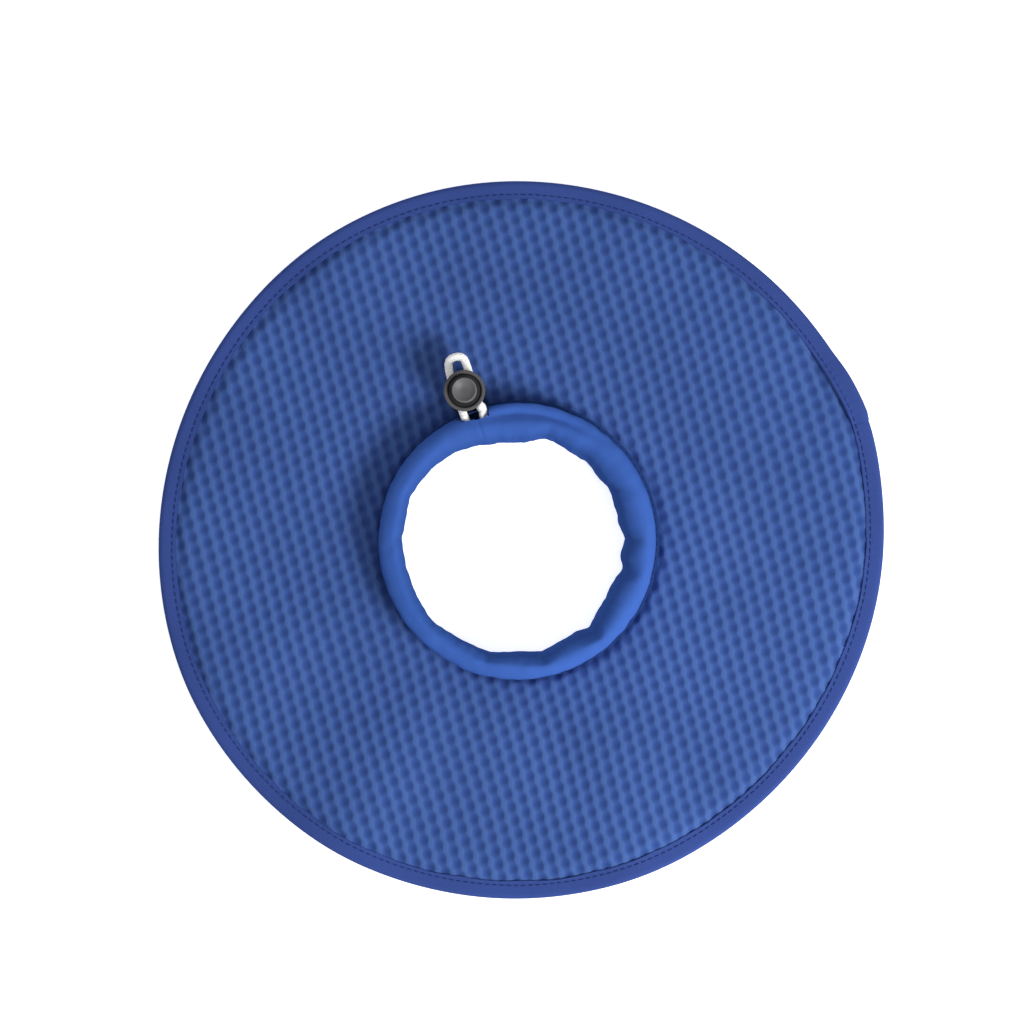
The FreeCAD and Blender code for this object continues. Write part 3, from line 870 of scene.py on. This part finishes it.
def makeBinding(name, extra, start, sweep, steps, close):
    # a lap lies over the tape at its start and runs down into it towards its end
    marks, under = bindingMarks(extra), bindingMarks(-0.03 * mm)
    stitchTurn = 2 * pi / binding["stitches"]

    def place(u, w):
        angle = radians(start + sweep * u)
        radius, high = alongProfile(marks, w)
        if not close:
            sunk, down = smooth(*binding["lapSink"], u), alongProfile(under, w)
            radius, high = radius + (down[0] - radius) * sunk, high + (down[1] - high) * sunk
        side = 1 if high > 0 else -1
        seam = exp(-(((radius - binding["stitchRadius"]) / binding["puckerWidth"]) ** 2))
        edge = smooth(binding["stitchRadius"], binding["innerEdge"], radius)
        high -= side * seam * binding["pucker"] * (1 + cos(angle / stitchTurn * 2 * pi))
        loose = noise.noise(roundPoint(1, angle, side * 0.4) * 9)
        high += side * edge * max(loose, -0.1) * binding["edgeLift"]
        wobble = noise.noise(roundPoint(1, angle, side * 0.9) * 14)
        radius += edge * wobble * binding["edgeWobble"]
        if side > 0:
            high += edge * binding["lapLift"] * besideLap(degrees(angle))
        if not close:
            part, drawn = binding["lapEnd"]
            fold = binding["foldRadius"]
            radius -= drawn * smooth(part, 0.0, u) * smooth(fold - 2 * mm, fold, radius)
        return settle(roundPoint(radius, angle, discMiddle + high))

    length = radians(sweep) * rimRadius
    build = gridBuild(steps, binding["across"], place, (length, marks[-1][0]), close)
    mesh = cutMesh(looseObject(build, name + "_cut"),
                   ("SOLIDIFY", {"thickness": binding["thickness"], "offset": 0.0, "use_even_offset": True}))
    piece = finishPiece(mesh, name, tapeMaterial, ["rim_binding"], 50)


def makeRimStitches():
    build = bmesh.new()
    for k in range(binding["stitches"]):
        angle = 2 * pi * (k + 0.5) / binding["stitches"]
        lap = (degrees(angle) - binding["lapFrom"]) / (binding["lapTo"] - binding["lapFrom"])
        layers = 1 + smooth(*binding["lapSink"][::-1], lap) if lap > 0 else 1
        high = panel["flange"] + binding["thickness"] * layers + threadLift
        spot = roundPoint(1, angle, 0) * binding["stitchRadius"]
        for side in (1, -1):
            middle = settle(spot + Vector((0, 0, discMiddle + side * high)))
            addStitch(build, middle, Vector((-spot.y, spot.x, 0)), Vector((0, 0, side)), binding["stitchLength"])
    finishPiece(build, "rim_stitches", threadMaterial, ["rim_seam_thread"])


makeBinding("rim_tape", 0.0, 0.0, 360.0, binding["steps"], True)
makeBinding("rim_tape_lap", binding["thickness"], binding["lapFrom"], binding["lapTo"] - binding["lapFrom"],
            binding["lapSteps"], False)
makeRimStitches()
print("rim bound")

sleeve = {
    "thickness": 0.6 * mm,
    "depth": 10.3 * mm,
    "steps": 640,
    "across": 60,
    "tabHigh": 1.6 * mm,  # the front tab's top over the disc's middle
    "openingMean": 42.0 * mm,
    "openingPull": (3.4 * mm, 195),  # how far the opening is pulled to one side, and to which
    "flatSide": (3.9 * mm, 100, 26),  # where the fabric bulges in most
    "pleats": [  # direction, how far the edge is pinched out, half width
        (75, 1.9 * mm, 13), (51, 0.8 * mm, 11), (27, 1.0 * mm, 12), (0.5, 2.6 * mm, 12),
        (344, 2.9 * mm, 13), (309, 3.0 * mm, 17), (281, 2.6 * mm, 14), (255, 1.4 * mm, 12),
        (222, 1.1 * mm, 20), (180, 1.0 * mm, 14), (157, 1.5 * mm, 14),
    ],
    "drift": (-1.1 * mm, -0.4 * mm),  # the standing part leans this way
    "swell": 0.5 * mm,
    "groove": (2.4 * mm, 48.4 * mm, 1.5 * mm, 80, 27),  # depth, radius, half width, middle, reach
    "slump": (2.6 * mm, 84, 28),  # the roll's outer half sinks here: depth, middle, half width
    "seam": (0.35, 109.6, 0.7),  # the strip's own end seam: depth in millimetres, direction, half width
    # uneven folds and wrinkles: fineness round the neck, fineness upwards, seed, depth in millimetres
    "folds": [(7, 60, 3.1, 0.55), (17, 120, 8.4, 0.3)],
    "wrinkle": (12, 150, 5.7, 0.35),
    "topWrinkle": (9, 200, 1.2, 0.35),
    "rest": 0.25 * mm,  # the roll's top keeps this far under the full height
    "lean": (1.7 * mm, 178, 78),  # the inner wall leans in under the roll, but not on this side
}
standing = sleeve["depth"] / 2
rollRadius = standing - sleeve["thickness"] / 2
sleeveMiddle = neckRadius + standing
rollLow = sleeveLow + standing
rollHigh = sleeveHigh - standing


def openingRadius(angle):
    pull, pullTo = sleeve["openingPull"]
    bulge, bulgeAt, bulgeHalf = sleeve["flatSide"]
    radius = sleeve["openingMean"] + pull * cos(radians(angle - pullTo))
    return radius - bulge * hump(angle, bulgeAt, bulgeHalf)


def pinch(angle):
    return sum(deep * cusp(angle, middle, half) for middle, deep, half in sleeve["pleats"])


def ringNoise(angle, along, wrinkles):
    fine, upwards, seed, deep = wrinkles
    return noise.noise(roundPoint(fine, radians(angle), along * upwards + seed)) * deep * mm


def shapeSleeve(angle, radius, high):
    # a point of the plain round sleeve, put where the gathered one has it
    inner = smooth(50.5 * mm, 43.5 * mm, radius)
    up = smooth(rollLow - 4 * mm, rollLow + 5 * mm, high)
    top = smooth(rollHigh - 2 * mm, sleeveHigh - mm, high)
    outer = smooth(47 * mm, 52 * mm, radius) * smooth(discHigh, discHigh + 6 * mm, high)
    clear = 1 - hump(angle, degrees(exitAngle), 24)
    turn = radians(angle)
    folds = sum(ringNoise(angle, high, wrinkles) for wrinkles in sleeve["folds"])
    pinched = pinch(angle)
    lean, upright, uprightHalf = sleeve["lean"]
    lean *= (1 - 1.5 * hump(angle, upright, uprightHalf)) * smooth(rollLow + 3 * mm, rollHigh + mm, high)
    shift = inner * (openingRadius(angle) - neckRadius + pinched * (0.75 + 0.25 * up) + folds + lean)
    drift = sleeve["drift"][0] * cos(turn) + sleeve["drift"][1] * sin(turn)
    shift += outer * clear * (drift + sleeve["swell"] + ringNoise(angle, high, sleeve["wrinkle"]))
    deep, grooveAt, grooveHalf, grooveMiddle, reach = sleeve["groove"]
    across = exp(-(((radius + shift * 0.6 - grooveAt) / grooveHalf) ** 2))
    drop = deep * across * exp(-((turnGap(angle, grooveMiddle) / reach) ** 4))
    sunk, sunkAt, sunkHalf = sleeve["slump"]
    drop += sunk * smooth(45 * mm, 50.5 * mm, radius) * hump(angle, sunkAt, sunkHalf)
    drop += 0.28 * pinched * smooth(51 * mm, 45 * mm, radius)
    drop += 0.9 * mm * smooth(48.5 * mm, 43.5 * mm, radius) * (1 - hump(angle, 195, 70))
    sewn, seamAt, seamHalf = sleeve["seam"]
    drop += sewn * mm * hump(angle, seamAt, seamHalf)
    drop += top * (sleeve["rest"] + ringNoise(angle, radius, sleeve["topWrinkle"]))
    return radius + shift, high - drop * top


def sleeveMarks():
    foot = sleeveLow + sleeve["thickness"] / 2
    tab = discMiddle + sleeve["tabHigh"] - sleeve["thickness"] / 2
    outerRadius = sleeveMiddle + rollRadius
    return measured([(tabRadius, foot)]
                    + arcPoints((sleeveMiddle, rollLow), rollRadius, 270, 180, 16)
                    + arcPoints((sleeveMiddle, rollHigh), rollRadius, 180, 0, 40)
                    + arcPoints((outerRadius + 0.6 * mm, tab + 0.6 * mm), 0.6 * mm, 180, 270, 5)
                    + [(tabRadius, tab)])


exitHole = {"halfWidth": 6.1 * mm, "halfHeight": 2.3 * mm, "stitches": 46, "stitchWidth": 0.9 * mm}
exitHigh = toggleMiddle.z + (toggleMiddle.xy.length - sleeveMiddle - standing) * tan(asin(-slideAxis.z))


def roundedBar(name, halfWidth, low, high, corner, length, place):
    # a bar along X with its four long edges rounded, put in place by a matrix
    build = bmesh.new()
    bmesh.ops.create_cube(build, size=1.0)
    bmesh.ops.scale(build, vec=(length, 2 * halfWidth, high - low), verts=build.verts)
    bmesh.ops.translate(build, vec=(0, 0, (low + high) / 2), verts=build.verts)
    long = [edge for edge in build.edges if abs(edge.verts[0].co.x - edge.verts[1].co.x) > length / 2]
    bmesh.ops.bevel(build, geom=long, offset=corner, affect="EDGES", segments=8, profile=0.5, material=-1)
    putAt(build, place)
    return looseObject(build, name)


def makeSleeve():
    marks = sleeveMarks()

    def place(u, w):
        angle = 360 * u
        radius, high = shapeSleeve(angle, *alongProfile(marks, w))
        return roundPoint(radius, radians(angle), high)

    length = 2 * pi * tabRadius
    build = gridBuild(sleeve["steps"], sleeve["across"], place, (length, marks[-1][0]), True)
    high = exitHole["halfHeight"]
    cutter = roundedBar("exit_cutter", exitHole["halfWidth"], -high, high, high * 0.999, sleeve["depth"],
                        exitFrame @ Matrix.Translation((tabRadius, 0, exitHigh)))
    mesh = cutMesh(looseObject(build, "sleeve_cut"), ("SOLIDIFY", {"thickness": sleeve["thickness"], "offset": 0.0}),
                   cutter=cutter)
    piece = finishPiece(mesh, "gathered_sleeve", sleeveMaterial, ["neck_sleeve"], 60)
    return piece


neckStitches = {"count": 116, "radius": tabRadius - 0.95 * mm, "length": 2.1 * mm}


def makeNeckStitches():
    build = bmesh.new()
    for k in range(neckStitches["count"]):
        turn = 2 * pi * (k + 0.5) / neckStitches["count"]
        spot = roundPoint(1, turn, 0)
        for side in (1, -1):
            high = discMiddle + side * (sleeve["tabHigh"] + threadLift)
            middle = spot * neckStitches["radius"] + Vector((0, 0, high))
            addStitch(build, middle, Vector((-spot.y, spot.x, 0)), Vector((0, 0, side)), neckStitches["length"])
    finishPiece(build, "neck_stitches", threadMaterial, ["neck_seam_thread"])


def makeExitStitches(sleevePiece):
    # overcast stitches over the edge of the opening, on the sleeve's outside
    build = bmesh.new()
    flat = exitHole["halfWidth"] - exitHole["halfHeight"]
    outline = 4 * flat + 2 * pi * exitHole["halfHeight"]
    for k in range(exitHole["stitches"]):
        distance = outline * k / exitHole["stitches"]
        y, z, outY, outZ = edgeOfExit(distance, flat, exitHole["halfHeight"])
        ends = []
        for reach in (0, exitHole["stitchWidth"]):
            sideways, high = y + outY * reach, exitHigh + z + outZ * reach
            near = exitFrame @ Vector((surfaceX(sideways, high), sideways, high))
            ends.append(sleevePiece.closest_point_on_mesh(near)[1:3])
        (inward, _), (outward, face) = ends
        run = outward - inward
        if run.length > 0.2 * mm:
            addStitch(build, (inward + outward) / 2 + face * 0.1 * mm, run, face, run.length + 0.4 * mm)
    finishPiece(build, "exit_stitches", threadMaterial, ["cord_exit_stitching"])


def edgeOfExit(distance, flat, high):
    # a point of the opening's outline, and the way out from it
    for index, length in enumerate((2 * flat, pi * high) * 2):
        if distance <= length:
            break
        distance -= length
    side = 1 if index < 2 else -1
    if index in (0, 2):
        return side * (-flat + distance), side * high, 0, side
    angle = radians(side * 90 - 180 * distance / length)
    return side * flat + high * cos(angle), high * sin(angle), cos(angle), sin(angle)


def surfaceX(y, z):
    # how far out the sleeve's outside is, beside the opening
    over = max(z - rollHigh, 0)
    radius = sleeveMiddle + sqrt(max(standing ** 2 - over ** 2, 0))
    return sqrt(radius ** 2 - y ** 2)


sleevePiece = makeSleeve()
makeNeckStitches()
makeExitStitches(sleevePiece)
print("sleeve made")


def hiddenRadius(angle):
    # the cord and its ferrule keep between the sleeve's two walls
    lean = sleeve["lean"][0] * (1 - hump(angle, sleeve["lean"][1], sleeve["lean"][2]))
    return max(0.0, openingRadius(angle) + lean + pinch(angle) + cordSize["wallGap"] - cordSize["ringRadius"])


def followSleeve(build):
    putAt(build, exitFrame)
    for vert in build.verts:
        angle = degrees(atan2(vert.co.y, vert.co.x))
        away = 1 - hump(angle, degrees(exitAngle), cordSize["exitReach"])
        radius = vert.co.xy.length
        vert.co.xy = vert.co.xy * ((radius + hiddenRadius(angle) * away) / radius)
        vert.co.z -= cordSize["sink"] * away


def makeHiddenCord():
    # the cord's run inside the sleeve, spun round its bends and the neck from one doorway to the other
    build = bmesh.new()
    high, out, leg, bend = cordSize["ringHigh"], cordSize["legOut"], cordSize["legSide"], cordSize["bendSide"]
    start = Matrix.Translation((cordSize["doorway"], leg, high)) @ Matrix.Rotation(pi / 2, 4, "Y")
    bmesh.ops.create_circle(build, segments=24, radius=cordSize["radius"], cap_ends=True, matrix=start)
    ring = build.faces[:]

    def carry(faces, middle, angle, steps):
        grown = bmesh.ops.spin(build, geom=faces, cent=(*middle, 0), axis=(0, 0, 1), angle=angle, steps=steps)
        return [item for item in grown["geom_last"] if isinstance(item, bmesh.types.BMFace)]

    def push(faces, distance):
        grown = bmesh.ops.extrude_face_region(build, geom=faces)["geom"]
        moved = [item for item in grown if isinstance(item, bmesh.types.BMVert)]
        bmesh.ops.translate(build, vec=(distance, 0, 0), verts=moved)
        return [item for item in grown if isinstance(item, bmesh.types.BMFace)]

    turn = atan2(bend, out)
    ring = push(ring, out - cordSize["doorway"])
    ring = carry(ring, (out, bend), -(pi / 2 + turn), 16)
    ring = carry(ring, (0, 0), 2 * pi - 2 * turn, 240)
    ring = carry(ring, (out, -bend), -(pi / 2 + turn), 16)
    push(ring, cordSize["doorway"] - out)
    bmesh.ops.remove_doubles(build, verts=build.verts, dist=0.01 * mm)
    inside = [face for face in build.faces if len(face.verts) > 4]
    ends = sorted(inside, key=lambda face: -face.calc_center_median().x)[:2]
    bmesh.ops.delete(build, geom=[face for face in inside if face not in ends], context="FACES_ONLY")
    followSleeve(build)
    finishPiece(build, "drawcord_ring", cordMaterial, ["drawcord"], 60)


ferrule = {
    "outer": 2.22 * mm,
    "inner": 1.62 * mm,
    "half": 5.7,  # degrees of the neck's round to each side of its middle
    "crimps": (2.6, 0.9, 0.1),  # where, half width, and what share of the height
}


def makeFerrule():
    build = bmesh.new()
    high, half = cordSize["ringHigh"], radians(ferrule["half"])
    start = Matrix.Rotation(pi - half, 4, "Z") @ Matrix.Translation((cordSize["ringRadius"], 0, high))
    start = start @ Matrix.Rotation(pi / 2, 4, "X")
    for radius in (ferrule["outer"], ferrule["inner"]):
        bmesh.ops.create_circle(build, segments=32, radius=radius, matrix=start)
    bmesh.ops.bridge_loops(build, edges=build.edges[:])
    bmesh.ops.spin(build, geom=build.faces[:], cent=(0, 0, 0), axis=(0, 0, 1), angle=2 * half, steps=24)
    apart, wide, deep = ferrule["crimps"]
    for vert in build.verts:
        around = degrees(atan2(vert.co.y, vert.co.x))
        crimp = hump(around, 180 - apart, wide) + hump(around, 180 + apart, wide)
        vert.co.z = high + (vert.co.z - high) * (1 - deep * crimp)
    followSleeve(build)
    finishPiece(build, "cord_ferrule", ferruleMaterial, ["cord_join_ferrule"], 40)


makeHiddenCord()
makeFerrule()
print("hidden cord made")

barrel = {
    # radius, height over the cord hole's middle, and how far the corner is rounded
    "profile": [(0, -10.4, 0), (7.4, -10.4, 1.65), (7.4, 3.6, 0.8), (7.9, 5.9, 0.3), (7.9, 6.6, 0.25),
                (6.8, 6.6, 0.15), (6.4, 6.2, 0.15), (6.4, -9.0, 0.5), (1.8, -9.0, 0.3), (1.8, -7.4, 0.3),
                (0, -7.4, 0)],
    "hole": (5.45, -1.8, 1.8, 1.79),  # half width, low, high, corner
}
plunger = {
    "profile": [(0, -3.6, 0), (6.3, -3.6, 0.3), (6.3, 5.7, 0.35), (4.8, 5.7, 0.2), (4.8, 9.6, 0.5),
                (4.2, 9.45, 0.3), (2.9, 8.5, 0.5), (1.5, 7.9, 0.5), (0, 7.7, 0)],
    "slot": (5.35, -1.7, 4.7, 1.69),
}
spring = {"radius": 3.1 * mm, "wire": 0.25 * mm, "turns": 3, "low": -8.95 * mm, "high": -3.65 * mm}


def spunProfile(profile, steps):
    build = bmesh.new()
    line = [build.verts.new((radius * mm, 0, high * mm)) for radius, high, rounding in profile]
    for pair in zip(line, line[1:]):
        build.edges.new(pair)
    for vert, (radius, high, rounding) in zip(line, profile):
        if rounding:
            bmesh.ops.bevel(build, geom=[vert], offset=rounding * mm, affect="VERTICES", segments=5, profile=0.5,
                            material=-1)
    spinRound(build, build.verts[:] + build.edges[:], steps)
    bmesh.ops.remove_doubles(build, verts=build.verts, dist=0.005 * mm)
    putAt(build, toggleFrame)
    return build


def makeMoulding(name, profile, slot, material, body, replaced):
    halfWidth, low, high, corner = (value * mm for value in slot)
    cutter = roundedBar(name + "_cutter", halfWidth, low, high, corner, 40 * mm, toggleFrame)
    mesh = cutMesh(looseObject(spunProfile(profile, 96), name + "_blank"), cutter=cutter)
    finishPiece(mesh, name, material, [replaced], 32, body)


def makeSpring():
    build = bmesh.new()
    length = spring["high"] - spring["low"] - 2 * spring["wire"]
    steps = 36 * spring["turns"]
    start = Matrix.Translation((spring["radius"], 0, spring["low"] + spring["wire"]))
    bmesh.ops.create_circle(build, segments=10, radius=spring["wire"], cap_ends=True,
                            matrix=start @ Matrix.Rotation(pi / 2, 4, "X"))
    first = build.faces[:]
    bmesh.ops.spin(build, geom=first, cent=(0, 0, 0), axis=(0, 0, 1), angle=2 * pi * spring["turns"],
                   steps=steps, dvec=(0, 0, length / steps), use_duplicate=False)
    putAt(build, toggleFrame)
    piece = finishPiece(build, "coil_spring", steelMaterial, ["toggle_spring"], 60, "toggle")
    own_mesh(piece)


makeMoulding("cord_lock_barrel", barrel["profile"], barrel["hole"], barrelMaterial, "toggle",
             "toggle_barrel")
makeMoulding("cord_lock_button", plunger["profile"], plunger["slot"], buttonMaterial, "button",
             "toggle_plunger")
makeSpring()
print("cord lock made")
